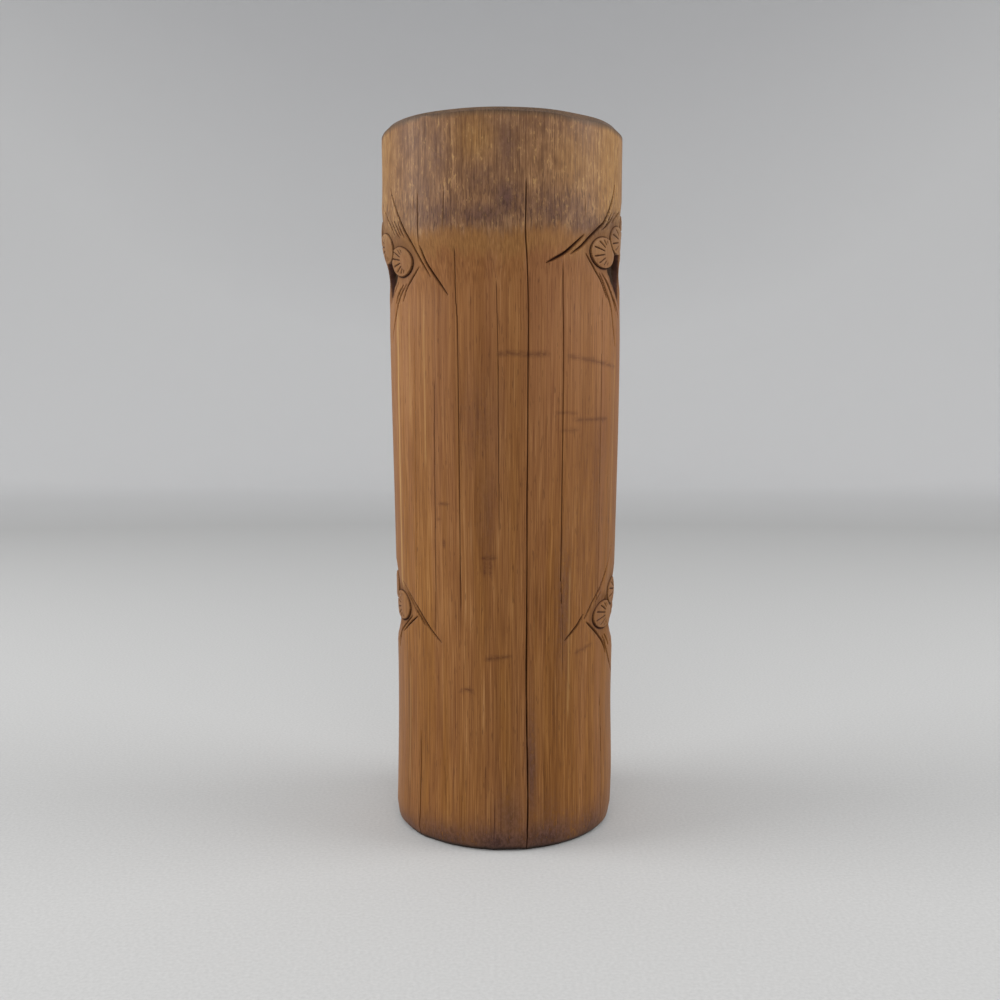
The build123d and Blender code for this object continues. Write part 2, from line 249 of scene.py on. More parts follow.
# Drying cracks: width, depth, darkness, then places as angle and height
CRACKS = [
    (0.6, 0.9, 1, [
        (10.5, 315), (10.4, 286), (10.5, 260), (10.3, 226), (10, 170), (10.2, 128), (10.4, 84),
    ]),
    (0.75, 1.8, 1, [(10.2, 128), (10.4, 84), (10.8, 60), (11.7, -2)]),
    (0.55, 0.7, 0.95, [(27.8, 281), (27.7, 206), (27.7, 140), (28.4, 118)]),
    (0.45, 0.2, 0.6, [(28, 130), (29.4, 101), (29.6, 84)]),
    (0.45, 0.3, 0.75, [(-35.2, 226), (-36, 187), (-36.8, 120), (-37.4, 104)]),
    (0.45, 0.3, 0.75, [(-26.4, 313), (-26.5, 303), (-26.1, 288)]),
    (0.5, 0.4, 0.85, [
        (-21.9, 286), (-23.2, 265), (-22.4, 247), (-22.4, 217), (-22.4, 148), (-22.2, 114),
    ]),
    (0.45, 0.3, 0.75, [(-3.8, 271), (-3.6, 240), (-3.4, 206), (-3.3, 150)]),
    (0.7, 0.4, 0.6, [(-3.5, 237), (-3.4, 222)]),
    (0.45, 0.3, 0.75, [(53.7, 266), (52.9, 236), (52.8, 186), (53.3, 147), (53.2, 112)]),
    (0.45, 0.5, 0.8, [(59, 72), (61, 6)]),
    (0.55, 0.8, 0.95, [(-48, 56), (-48.5, 20), (-49, -2)]),
    (0.45, 0.2, 0.35, [(-47.8, 247), (-49.4, 180), (-51, 116)]),
    (0.45, 0.4, 0.6, [(40, 309), (40.4, 296)]),
    (0.45, 0.6, 0.8, [(-40.7, 311), (-40.6, 300), (-40.5, 284)]),
    (0.45, 0.2, 0.45, [(-43.4, 311), (-43.4, 298)]),
    (0.45, 0.3, 0.7, [(-8.4, 303), (-8.4, 295)]),
    (0.45, 0.2, 0.45, [(-7.8, 338), (-8, 322)]),
    (0.45, 0.2, 0.45, [(-36.6, 343), (-36.5, 330)]),
    (0.45, 0.2, 0.6, [(-5, 28), (-5, 2)]),
    (0.45, 0.2, 0.5, [(19.4, 46), (19.8, 12)]),
    (0.6, 1.8, 1, [(152, 275), (151.4, 180), (152.6, -2)]),
    (0.5, 1, 0.8, [(-128, 253), (-129, 120), (-127.6, 24)]),
    (0.45, 0.3, 0.55, [(172, 282), (171, 110)]),
    (0.45, 0.3, 0.55, [(-160, 240), (-158.5, 60)]),
    (0.45, 0.3, 0.55, [(128, 200), (129.5, -2)]),
]

# Dark scuffs, and pale lines, which are partly pale streaks in the wood and partly painted highlights
# running up the culm: width, strength, then places as angle and height
SCUFFS = [
    (4.2, 0.66, [(-4.5, 235.5), (2, 236.4), (11, 235.8), (22, 236.2)]),
    (3.4, 0.61, [(29, 235.4), (43.5, 233.4), (56, 231.8), (70, 230.2)]),
    (2.4, 0.55, [(22.5, 209.3), (37, 208.9)]),
    (2.8, 0.61, [(32.5, 205.6), (60, 205.8)]),
    (2.6, 0.44, [(25, 200.7), (38, 201)]),
    (3, 0.83, [(-13, 141.6), (-3.5, 142.3)]),
    (2.4, 0.75, [(-10.1, 142), (-10.2, 132)]),
    (2.4, 0.75, [(-7.5, 142), (-7.5, 132)]),
    (2.4, 0.88, [(-31.2, 151), (-31.2, 144.5)]),
    (2.6, 0.66, [(-35.5, 166.3), (-27, 166.8)]),
    (2.4, 0.55, [(-37, 159.1), (-31.5, 159)]),
    (3, 0.55, [(36, 93.8), (43, 95.5), (50.5, 97.6)]),
    (3, 0.75, [(-11.5, 93.2), (-4, 94.6), (4, 95.4)]),
    (2.8, 0.8, [(-24.5, 76.4), (-19, 78.6), (-14.5, 76.6)]),
    (2.4, 0.44, [(140, 190), (165, 192)]),
    (2.6, 0.44, [(-170, 88), (-150, 86)]),
]
PALE_LINES_AND_HIGHLIGHTS = [
    (2.2, 1, [(-63.4, 262), (-65.4, 180), (-66.6, 116)]),
    (1.2, 0.6, [(-41.2, 262), (-41.9, 180)]),
    (1.2, 0.5, [(-52, 262), (-53, 200)]),
    (1.4, 0.6, [(68, 240), (67, 150)]),
    (1.2, 0.6, [(33, 140), (33.5, 60)]),
    (1.2, 0.6, [(-58, 90), (-58.5, 20)]),
]

# Stains, and paler places, which are partly bleached wood and partly painted light on the culm's sides:
# angle, height, reach across and up, strength
STAINS = [
    (2, 305, 6, 8, 1),
    (2, 329, 4, 13, 0.7),
    (-9, 314, 8, 6, 0.45),
    (-7, 298, 12, 5, 0.8),
    (24, 301, 17, 7, 0.65),
    (-30, 299, 20, 6, 0.6),
    (-30, 326, 5, 10, 0.6),
    (-45, 334, 10, 8, 0.5),
    (-38, 310, 14, 12, 0.3),
    (12, 338, 30, 5, 0.3),
    (42, 295, 12, 5, 0.6),
    (63, 297, 8, 6, 0.6),
    (-57, 290, 7, 5, 0.3),
    (13, 40, 2.6, 28, 0.7),
    (30, 118, 4, 34, 0.5),
    (40, 150, 9, 60, 0.15),
    (-12, 205, 10, 22, 0.25),
    (-9, 165, 4, 26, 0.3),
    (51, 170, 6, 40, 0.25),
    (2.5, 13, 8, 16, 0.7),
    (20, 16, 12, 12, 0.3),
    (-2, 4, 26, 10, 1),
    (22, 4, 24, 12, 1),
    (-30, 3, 26, 9, 0.9),
    (50, 4, 20, 10, 0.85),
    (-60, 2, 20, 7, 0.8),
    (178, 304, 24, 11, 0.8),
    (140, 300, 16, 8, 0.6),
    (-150, 303, 20, 9, 0.7),
    (170, 4, 40, 11, 0.9),
    (-120, 3, 40, 8, 0.8),
    (110, 3, 30, 7, 0.8),
    (152, 60, 2.4, 40, 0.5),
]
BLEACHED_AND_SIDE_LIT = [
    (-60, 235, 24, 70, 0.85),
    (-72, 330, 18, 50, 0.5),
    (-45, 130, 20, 70, 0.5),
    (62, 320, 20, 50, 0.6),
    (48, 250, 16, 40, 0.4),
    (40, 170, 15, 45, 0.3),
    (-13, 333, 12, 15, 0.5),
    (36, 322, 18, 20, 0.45),
    (120, 200, 40, 80, 0.5),
    (-150, 220, 40, 70, 0.4),
]

# Camera
CAMERA_PLACE = (-0.84, -583.3, 224.5)
CAMERA_DOWN = 5.99  # degrees
CAMERA_LENS = 41.4
CAMERA_SENSOR = 36

# Stage, in metres and watts
FLOOR_RADIUS = 2.4
FLOOR_SWEEP = 0.6  # radius of the sweep from the floor up to the wall
FLOOR_WALL = 1.4  # height of the wall
FLOOR_SIDES = 96
SWEEP_STEPS = 12
FAR = 3  # the floor's shades are set up to this distance
FAR_SIDEWAYS = 0.55  # distances to the sides, nearer the lights, count as this share
LIGHTS = [  # name, place, size, power
    ("left_light", (-1.4, -0.15, 0.9), 1.1, 15.5),
    ("right_light", (1.4, -0.15, 0.9), 1.1, 13),
    ("top_light", (0, -0.2, 1.6), 1.4, 1.5),
    ("front_light", (0, -1.3, 1.3), 1.2, 5.5),
]
LIGHTS_AIM = (0, 0, 0.2)
ROOM_LIGHT = 0.5


def smooth_curve(knots, values, at):
    """A smooth curve through the knots, read off at the places given."""
    knots = np.asarray(knots, float)
    values = np.asarray(values, float)
    slopes = np.gradient(values, knots)
    span = np.clip(np.searchsorted(knots, at) - 1, 0, len(knots) - 2)
    width = knots[span + 1] - knots[span]
    t = unit((at - knots[span]) / width)
    rise = values[span + 1] - values[span]
    start = slopes[span] * width
    end = slopes[span + 1] * width
    square = 3 * rise - 2 * start - end
    cube = start + end - 2 * rise
    return values[span] + t * start + t**2 * square + t**3 * cube


def unit(value):
    return np.clip(value, 0.0, 1.0)


def smooth_step(value, low, high):
    t = unit((value - low) / (high - low))
    return t * t * (3 - 2 * t)


def culm_radius(angle, height):
    """Radius of the bare outside: its profile, the rounded foot and the shaving flats."""
    heights, radii, _ = zip(*CULM)
    radius = smooth_curve(heights, radii, height)
    below = unit(1 - height / FOOT_RISE)
    radius = radius - FOOT_ROUND * (1 - np.sqrt(1 - below**2))
    for count, depth in FLATS:
        radius = radius + depth * np.cos(np.radians(count * angle) + count + height / FLATS_WIND)
    return radius


def culm_aside(height):
    heights, _, aside = zip(*CULM)
    return smooth_curve(heights, aside, height)


def rim_bevel(angle):
    """Width of the worn bevel round the rim."""
    width = np.full(len(angle), RIM_BEVEL)
    for count, size, shift in RIM_WAVES:
        width += size * np.sin(np.radians(count * angle) + shift)
    for worn_angle, depth, reach in RIM_WORN:
        off = (angle - worn_angle + 180) % 360 - 180
        width += depth * np.exp(-((off / reach) ** 2))
    return width


def rim_dip(angle):
    return RIM_DIP * (1 - np.cos(np.radians(angle)))


def across(angle, middle):
    """Millimetres across the surface from the upright line at the middle angle."""
    return np.radians((angle - middle + 180) % 360 - 180) * SURFACE_RADIUS


def rounded(points):
    """A line through the points with its corners rounded off."""
    points = np.asarray(points, float)
    if len(points) == 2:
        return points
    knots = np.arange(len(points))
    steps = np.linspace(0, len(points) - 1, 6 * (len(points) - 1) + 1)
    return np.stack([smooth_curve(knots, points[:, axis], steps) for axis in (0, 1)], axis=1)


class Cut:
    """A V-shaped cut along a line on the surface."""

    def __init__(self, middle, points, width, depth, dark, tip=None):
        self.middle = middle
        self.line = rounded(points)
        self.half = width / 2
        self.depth = depth
        self.dark = dark
        self.tip = tip
        self.length = np.hypot(*np.diff(self.line, axis=0).T).sum()

    def near(self, angle, height, margin):
        """The places near the line, each one's distance, share along it, way off it and nearest run."""
        u = across(angle, self.middle)
        low = self.line.min(axis=0) - margin
        high = self.line.max(axis=0) + margin
        inside = (u > low[0]) & (u < high[0]) & (height > low[1]) & (height < high[1])
        chosen = np.flatnonzero(inside)
        start = self.line[:-1]
        run = np.diff(self.line, axis=0)
        from_u = u[chosen, None] - start[:, 0]
        from_v = height[chosen, None] - start[:, 1]
        share = (from_u * run[:, 0] + from_v * run[:, 1]) / (run**2).sum(axis=1)
        share = unit(share)
        off_u = from_u - share * run[:, 0]
        off_v = from_v - share * run[:, 1]
        distance = np.hypot(off_u, off_v)
        best = distance.argmin(axis=1)
        pick = (np.arange(len(chosen)), best)
        along = (best + share[pick]) / len(run)
        return chosen, distance[pick], along, off_u[pick], off_v[pick], run[best]

    def settle(self, angle, height):
        """Moves onto the line one vertex in each row that it crosses steeply, or column if it is flat."""
        chosen, _, along, off_u, off_v, run = self.near(angle, height, CUT_REACH)
        steep = np.abs(run[:, 1]) >= np.abs(run[:, 0])
        slope = np.where(steep, run[:, 0], run[:, 1]) / np.where(steep, run[:, 1], run[:, 0])
        step = np.where(steep, off_u - off_v * slope, off_v - off_u * slope)
        close = (step > -CELL / 2) & (step <= CELL / 2) & (along > 0) & (along < 1)
        angle[chosen[close & steep]] -= np.degrees(step[close & steep] / SURFACE_RADIUS)
        height[chosen[close & ~steep]] -= step[close & ~steep]

    def section(self, distance, along):
        """Depth as a share: it swells in the middle, or is even between tips of a set length."""
        if self.tip:
            taper = unit(np.minimum(along, 1 - along) * self.length / self.tip)
        else:
            taper = unit(4 * along * (1 - along)) ** CUT_SWELL
        half = self.half * (CUT_TIP + (1 - CUT_TIP) * taper)
        return unit(1 - distance / half) * taper


class Oval:
    """An oval place on the surface."""

    def __init__(self, middle, u, v, half_width, half_height):
        self.middle = middle
        self.u = u
        self.v = v
        self.half_width = half_width
        self.half_height = half_height

    def local(self, angle, height):
        return across(angle, self.middle) - self.u, height - self.v

    def size(self, p, q):
        """Share of the way from the oval's middle to its edge."""
        return np.hypot(p / self.half_width, q / self.half_height) + 1e-6


class Hollow(Oval):
    """A shallow scooped place."""

    def __init__(self, depth, *oval):
        super().__init__(*oval)
        self.depth = depth

    def share(self, angle, height):
        return smooth_step(-self.size(*self.local(angle, height)), -HOLLOW_EDGE, -HOLLOW_FLOOR)


class Fan(Oval):
    """A tuft left standing in its groove, with short ribs that open to the left."""

    def __init__(self, rib_start, outer, *oval):
        super().__init__(*oval)
        self.rib_start = rib_start * self.half_width
        self.outer = outer
        self.focus = FAN_FOCUS * self.half_width

    def edge(self, p, q):
        """Signed distance from the oval's edge, and the direction straight out of it."""
        size = self.size(p, q)
        slope_p = p / self.half_width**2 / size
        slope_q = q / self.half_height**2 / size
        slope = np.hypot(slope_p, slope_q) + 1e-9
        return (size - 1) / slope, slope_p / slope, slope_q / slope

    def groove(self, p, q):
        """Depth of the groove as a share: widest below the fan and on its side towards the front."""
        distance, out_p, out_q = self.edge(p, q)
        side_p, side_q = GROOVE_SIDE
        facing = unit(side_p * self.outer * out_p + side_q * out_q)
        width = GROOVE_WIDTH * (GROOVE_THIN + (1 - GROOVE_THIN) * facing)
        depth = GROOVE_FLAT + (1 - GROOVE_FLAT) * facing
        wall = unit(distance / GROOVE_WALL)
        return wall * unit((width - distance) / (width - GROOVE_WALL)) * depth

    def ribs(self, p, q):
        """Distance from the nearest rib's middle line, how far the rib shows, and the step onto it."""
        left = self.focus - p
        reach = np.hypot(left, q)
        angle = np.degrees(np.arctan2(q, left))
        step = 2 * RIB_SPREAD / (RIBS - 1)
        nearest = np.clip(np.round((angle + RIB_SPREAD) / step), 0, RIBS - 1)
        rib = np.radians(nearest * step - RIB_SPREAD)
        shown = unit((RIB_END - self.size(p, q)) / RIB_END_FADE)
        shown *= unit((reach - self.rib_start) / RIB_START_FADE)
        distance = reach * np.abs(np.sin(np.radians(angle) - rib))
        return distance, shown, left - reach * np.cos(rib), reach * np.sin(rib) - q


class Pit:
    """A deep hollow with sloping sides and rounded corners, deepest at its upper end."""

    def __init__(self, middle, corners):
        self.middle = middle
        self.corners = np.asarray(corners, float)
        following = np.roll(self.corners, -1, axis=0)
        area = (self.corners[:, 0] * following[:, 1] - self.corners[:, 1] * following[:, 0]).sum()
        self.turn = 1.0 if area > 0 else -1.0

    def edge(self, angle, height):
        """Distance outside the pit's uneven sides, negative inside."""
        u = across(angle, self.middle)
        total = np.zeros(len(u))
        for (u0, v0), (u1, v1) in zip(self.corners, np.roll(self.corners, -1, axis=0)):
            length = np.hypot(u1 - u0, v1 - v0)
            side = ((v1 - v0) * (u - u0) - (u1 - u0) * (height - v0)) / length
            total += np.exp(np.clip(self.turn * side / PIT_ROUND, -60, 60))
        edge = PIT_ROUND * np.log(total)
        for size, per_u, per_v, shift in PIT_WAVES:
            edge += size * np.sin(per_u * u + per_v * height + shift)
        return edge

    def share(self, angle, height):
        """Depth of the pit as a share."""
        low = self.corners[:, 1].min()
        high = self.corners[:, 1].max()
        slope = PIT_LOW_END + (1 - PIT_LOW_END) * smooth_step(height, low, high - PIT_TOP)
        return smooth_step(-self.edge(angle, height), 0.0, PIT_WALL) * slope


def on_surface(sprig, side, degrees, rise):
    """A place in a sprig as millimetres from its flank's middle line, and height."""
    return side * radians(degrees) * SURFACE_RADIUS, sprig["height"] + rise


class Carving:
    """All cuts, fans and pits, each sprig's far half mirrored from its near half."""

    def __init__(self):
        self.strokes = []
        self.fans = []
        self.pits = []
        self.hollows = []
        for sprig in SPRIGS:
            near = 1.0 if sprig["flank"] < 0 else -1.0
            for side in (-near, near):
                self.add_half(sprig, side)
            if "crown" in sprig:
                self.add_fan(sprig, 0.0, sprig["crown"])
            degrees, rise, *size, depth = sprig["hollow"]
            place = on_surface(sprig, near, degrees, rise)
            self.hollows.append(Hollow(depth, sprig["flank"], *place, *size))
        self.strokes += [self.line(points, width, depth, dark) for width, depth, dark, points in CRACKS]
        self.scuffs = [self.line(points, width, 0.0, dark, SCUFF_TIP) for width, dark, points in SCUFFS]
        self.pale_lines_and_highlights = [self.line(points, width, 0.0, pale) for width, pale, points in PALE_LINES_AND_HIGHLIGHTS]

    def add_half(self, sprig, side):
        for width, points in sprig["strokes"]:
            line = [on_surface(sprig, side, *point) for point in points]
            self.strokes.append(Cut(sprig["flank"], line, width, STROKE_DEPTH * width, 1.0))
        for fan in sprig["fans"]:
            self.add_fan(sprig, side, fan)
        if "pit" in sprig:
            corners = [on_surface(sprig, side, *corner) for corner in sprig["pit"]]
            self.pits.append(Pit(sprig["flank"], corners))

    def add_fan(self, sprig, side, fan):
        degrees, rise, *size = fan
        place = on_surface(sprig, side, degrees, rise)
        self.fans.append(Fan(sprig["rib_start"], side, sprig["flank"], *place, *size))

    def line(self, points, width, depth, dark, tip=CRACK_TIP):
        middle = points[0][0]
        places = [(radians(angle - middle) * SURFACE_RADIUS, height) for angle, height in points]
        return Cut(middle, places, width, depth, dark, tip)


CARVING = Carving()


def detail_distance(angle, height):
    """How far each place is from the nearest carved or marked line."""
    nearest = np.full(len(angle), 1e3)
    for cuts, off in ((CARVING.strokes, 0), (CARVING.scuffs, SCUFF_OFF), (CARVING.pale_lines_and_highlights, PALE_OFF)):
        for cut in cuts:
            chosen, distance, *_ = cut.near(angle, height, LINE_REACH)
            nearest[chosen] = np.minimum(nearest[chosen], distance + off)
    for fan in CARVING.fans:
        distance, _, _ = fan.edge(*fan.local(angle, height))
        nearest = np.minimum(nearest, np.maximum(distance - FAN_SPARE, 0))
    for pit in CARVING.pits:
        nearest = np.minimum(nearest, np.abs(pit.edge(angle, height)))
    return nearest


def settle(angle, height):
    """Moves the vertices next to a cut's middle line, a rib or a fan's edge onto it."""
    angle = angle.copy()
    height = height.copy()
    to_degrees = np.degrees(1 / SURFACE_RADIUS)
    for fan in CARVING.fans:
        p, q = fan.local(angle, height)
        distance, shown, step_p, step_q = fan.ribs(p, q)
        close = (distance < SNAP) & (shown > 0)
        angle[close] += step_p[close] * to_degrees
        height[close] += step_q[close]
    for cut in CARVING.strokes:
        cut.settle(angle, height)
    for fan in CARVING.fans:
        distance, out_p, out_q = fan.edge(*fan.local(angle, height))
        close = np.abs(distance) < SNAP
        angle[close] -= (distance * out_p)[close] * to_degrees
        height[close] -= (distance * out_q)[close]
    return angle, height


class Relief:
    """The carved surface's height over the bare one, and how far it is cut, ground or a fan's face."""

    def __init__(self, angle, height):
        self.at = (angle, height)
        self.lift, self.cut, self.ground, self.face = np.zeros((4, len(angle)))
        self.lower_ground()
        self.scoop_hollows()
        self.cut_strokes()
        self.sink_pits()
        for fan in CARVING.fans:
            self.raise_fan(fan)

    def lower_ground(self):
        for fan in CARVING.fans:
            distance, _, _ = fan.edge(*fan.local(*self.at))
            self.ground = np.maximum(self.ground, smooth_step(-distance, -GROUND_REACH, 0.0))
        for pit in CARVING.pits:
            self.ground = np.maximum(self.ground, smooth_step(-pit.edge(*self.at), -PIT_SHOULDER, 0.5))
        self.lift -= GROUND_DEPTH * self.ground

    def scoop_hollows(self):
        for hollow in CARVING.hollows:
            share = hollow.share(*self.at)
            self.lift = np.minimum(self.lift, -hollow.depth * share)
            self.ground = np.maximum(self.ground, HOLLOW_GROUND * share)

    def cut_strokes(self):
        for stroke in CARVING.strokes:
            chosen, distance, along, *_ = stroke.near(*self.at, CUT_REACH)
            section = stroke.section(distance, along)
            self.lift[chosen] -= stroke.depth * section
            dark = stroke.dark * np.minimum(1.0, STROKE_DARK * section)
            self.cut[chosen] = np.maximum(self.cut[chosen], dark)

    def sink_pits(self):
        angle, height = self.at
        rough = PIT_ROUGH * np.sin(angle * 5.1 + height) * np.sin(height * 2.3 - angle * 1.7)
        for pit in CARVING.pits:
            share = pit.share(angle, height)
            self.lift = np.minimum(self.lift, -(PIT_DEPTH + rough) * share)
            # the pits' darkness, up to 2, is partly their stain and partly painted shade
            self.cut = np.maximum(self.cut, np.minimum(2.0, PIT_DARK * share))

    def raise_fan(self, fan):
        p, q = fan.local(*self.at)
        groove = fan.groove(p, q)
        self.lift = np.minimum(self.lift, -GROOVE_DEPTH * groove)
        self.cut = np.maximum(self.cut, np.minimum(1.0, GROOVE_DARK * groove))
        inside = fan.edge(p, q)[0] <= 0.01
        rib, shown, _, _ = fan.ribs(p, q)
        rib_cut = unit(1 - 2 * rib / RIB_WIDTH) * shown
        dome = FAN_STAND - FAN_DOME * np.minimum(fan.size(p, q), 1.0) ** 2
        self.lift[inside] = (dome - RIB_DEPTH * rib_cut)[inside]
        self.cut[inside] = rib_cut[inside]
        self.ground[inside] = 0.0
        self.face[inside] = 1.0


def marked(lines, angle, height):
    """The strongest of the marks at each vertex."""
    mark = np.zeros(len(angle))
    for line in lines:
        chosen, distance, along, *_ = line.near(angle, height, LINE_REACH)
        mark[chosen] = np.maximum(mark[chosen], line.dark * line.section(distance, along))
    return mark


def soft_places(places, angle, height):
    """The strongest of the places at each vertex, each fading away from its middle."""
    shade = np.zeros(len(angle))
    for middle, level, wide, high, strength in places:
        off = (across(angle, middle) / wide) ** 2 + ((height - level) / high) ** 2
        shade = np.maximum(shade, strength * np.exp(-off))
    return shade


def corner(blocks, **values):
    """A corner of the wall's section, zero in what isn't said, and the blocks up to the next corner."""
    return np.array([values.get(name, 0.0) for name in ROW]), blocks


def wall_rows():
    """The closed wall section, row by row: up the outside, over the rim, down the bore, out under the foot.

    A row's inward and down are the shares of the rim's bevel that come off its radius and its height.
    """
    foot = np.arange(2 * BLOCK) / (2 * BLOCK)
    foot_heights = FOOT_RISE * (1 - np.cos(foot * pi / 2))
    wall = BLOCK * round((HEIGHT - FOOT_RISE) / CELL / BLOCK)
    wall_heights = FOOT_RISE + (HEIGHT - FOOT_RISE) * np.arange(wall) / wall
    heights = np.concatenate([foot_heights, wall_heights])
    outside = dict.fromkeys(ROW, np.zeros(len(heights)))
    outside.update(
        height=heights,
        down=smooth_step(heights, HEIGHT - RIM_BLEND, HEIGHT),
        dip=smooth_step(heights, HEIGHT - RIM_DIP_BLEND, HEIGHT),
        carved=np.ones(len(heights)),
        # painted shade: the foot's lowest rows are marked for the dark dirt colour, partly dirt, partly the
        # shade under its rounding
        worn=smooth_step(-heights, -FOOT_DIRT_AND_SHADE_HEIGHT, 0.0),
    )
    _, radius, aside = CULM[-1]
    corners = [
        corner(1, radius=radius, height=HEIGHT, aside=aside, down=1, dip=1, carved=1, worn=1),
        corner(2, radius=radius, height=HEIGHT, aside=aside, inward=1, dip=1, worn=1, grain=0.15),
    ]
    for radius, height, aside, blocks in INSIDE:
        end = float(height in (0.0, HEIGHT))
        rim = float(height >= HEIGHT - MOUTH_BEVEL)
        place = dict(radius=radius, height=height, aside=aside)
        corners.append(corner(blocks, **place, dip=rim, worn=0.5 * rim, bore=1 - end, grain=end))
    _, radius, aside = CULM[0]
    corners.append(corner(0, radius=radius - FOOT_ROUND, aside=aside, carved=1, worn=1, grain=0.2))
    runs = [np.stack([outside[name] for name in ROW], axis=1)]
    for (start, blocks), (end, _) in zip(corners, corners[1:]):
        share = (np.arange(blocks * BLOCK) / (blocks * BLOCK))[:, None]
        runs.append(start + (end - start) * share)
    return np.concatenate(runs), len(heights)


def split_cells(rows, outside):
    """Square cells of the wall as row, column and size, smaller towards the carving."""
    heights = rows[:, ROW.index("height")]
    row, column = [grid.ravel() for grid in np.mgrid[0:len(rows):BLOCK, 0:COLUMNS:BLOCK]]
    done = []
    size = BLOCK
    while size > 1:
        angle = (column + size / 2) * 360 / COLUMNS - 180
        low = heights[row]
        high = heights[np.minimum(row + size, outside)]
        distance = detail_distance(angle, (low + high) / 2)
        split = (row < outside) & (distance < SPLIT_REACH * size * CELL + SPLIT_SPARE)
        done.append(np.stack([row[~split], column[~split], np.full((~split).sum(), size)], axis=1))
        half = size // 2
        row = np.concatenate([row[split] + step for step in (0, 0, half, half)])
        column = np.concatenate([column[split] + step for step in (0, half, 0, half)])
        size = half
    done.append(np.stack([row, column, np.ones(len(row), int)], axis=1))
    return np.concatenate(done)


def cell_outline(row, column, size, used):
    """The used vertices round a cell, anticlockwise as seen from outside."""
    steps = range(size)
    outline = [(row, column + step) for step in steps]
    outline += [(row + step, column + size) for step in steps]
    outline += [(row + size, column + size - step) for step in steps]
    outline += [(row + size - step, column) for step in steps]
    wrapped = [(r % used.shape[0], c % used.shape[1]) for r, c in outline]
    return [used[place] for place in wrapped if used[place] >= 0]


def new_mesh(name, points, faces):
    mesh = bpy.data.meshes.new(name)
    mesh.from_pydata(points, [], faces)
    mesh.shade_smooth()
    return mesh


def add(name, data):
    made = bpy.data.objects.new(name, data)
    bpy.context.scene.collection.objects.link(made)
    return made


def make_culm():
    """The carved culm as one closed mesh, with what its material needs to know at each vertex."""
    rows, outside = wall_rows()
    cells = split_cells(rows, outside)
    used = np.full((len(rows), COLUMNS), -1)
    row, column, size = cells.T
    for up in (0, size):
        for right in (0, size):
            used[(row + up) % len(rows), (column + right) % COLUMNS] = 0
    row, column = np.nonzero(used == 0)
    used[row, column] = np.arange(len(row))
    faces = [cell_outline(*cell, used) for cell in cells.tolist()]

    angle = column * 360 / COLUMNS - 180
    radius, height, aside, inward, down, dip, carved, worn, bore, grain = rows[row].T.copy()
    bevel = rim_bevel(angle)
    height -= down * bevel + dip * rim_dip(angle)
    wall = row < outside
    angle[wall], height[wall] = settle(angle[wall], height[wall])
    height[wall] = np.clip(height[wall], 0.0, HEIGHT)
    radius[wall] = culm_radius(angle[wall], height[wall])
    aside[wall] = culm_aside(height[wall])
    form = Relief(angle, height)
    radius += carved * form.lift - inward * bevel

    turn = np.radians(angle)
    points = np.stack([aside + radius * np.sin(turn), -radius * np.cos(turn), height], axis=1) * MM
    mesh = new_mesh("culm_carved", points.tolist(), faces)
    mesh.set_sharp_from_angle(angle=radians(SHARP_ANGLE))
    known = dict(
        cut=carved * form.cut,
        ground=carved * form.ground,
        face=carved * form.face,
        scuff=carved * marked(CARVING.scuffs, angle, height),
        # pale streaks in the wood, and painted highlights
        pale=carved * marked(CARVING.pale_lines_and_highlights, angle, height),
        stain=carved * soft_places(STAINS, angle, height),
        # paler places: bleached wood, and painted light on the culm's sides
        bleach_and_side_light=carved * soft_places(BLEACHED_AND_SIDE_LIT, angle, height),
        worn=worn,
        bore=bore,
        end_grain=grain,
    )
    for name, values in known.items():
        layer = mesh.attributes.new(name, "FLOAT", "POINT")
        layer.data.foreach_set("value", values.astype(np.float32))
    return add("culm_carved", mesh)


def colour(red, green, blue):
    """A colour as it is seen on a screen, 0 to 255, as the shader's own numbers."""
    shares = [value / 255 for value in (red, green, blue)]
    return (*[s / 12.92 if s < 0.04045 else ((s + 0.055) / 1.055) ** 2.4 for s in shares], 1.0)


